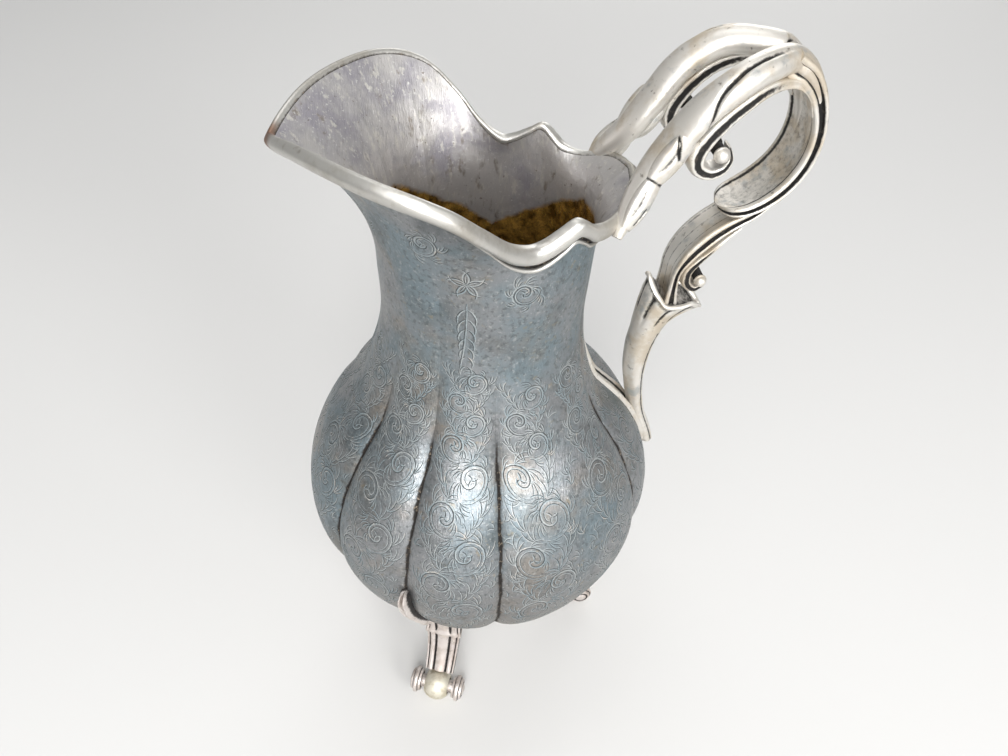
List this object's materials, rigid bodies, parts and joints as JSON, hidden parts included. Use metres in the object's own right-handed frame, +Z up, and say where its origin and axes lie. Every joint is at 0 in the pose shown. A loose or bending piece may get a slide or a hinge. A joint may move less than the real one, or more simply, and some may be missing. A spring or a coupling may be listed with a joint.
{
  "type": "cream jug",
  "caption": "Engraved silver cream jug with a lobed pear body, wavy spouted mouth, scroll handle and reeded scroll feet",
  "frame": {"origin": "on the axis of the round body, at the plane that the three balls stand on", "axes": "+Z up, +X towards the handle, -X towards the spout, +Y to the side"},
  "size_m": [0.1064, 0.0864, 0.1811],
  "materials": {
    "body_silver": "tarnished",
    "cast_silver": "worn polish",
    "foot_silver": "worn polish"
  },
  "bodies": {
    "root": {"body": "body_silver", "rim_moulding": "cast_silver", "rim_thread": "cast_silver", "strand_right": "cast_silver", "strand_left": "cast_silver", "strand_leaf_right": "cast_silver", "strand_leaf_left": "cast_silver", "strand_volute_right": "cast_silver", "strand_volute_left": "cast_silver", "volute_bead_right": "cast_silver", "volute_bead_left": "cast_silver", "handle_loop": "cast_silver", "lower_scroll": "cast_silver", "scroll_volute": "cast_silver", "scroll_bead": "cast_silver", "leaf_cap": "cast_silver", "handle_stem": "cast_silver", "handle_terminal": "cast_silver", "foot_leaf_rear": "foot_silver", "foot_leaf_right": "foot_silver", "foot_leaf_left": "foot_silver", "foot_stem_rear": "foot_silver", "foot_stem_right": "foot_silver", "foot_stem_left": "foot_silver", "foot_scroll_rear": "foot_silver", "foot_scroll_right": "foot_silver", "foot_scroll_left": "foot_silver", "foot_ball_rear": "foot_silver", "foot_ball_right": "foot_silver", "foot_ball_left": "foot_silver"}
  },
  "joints": []
}
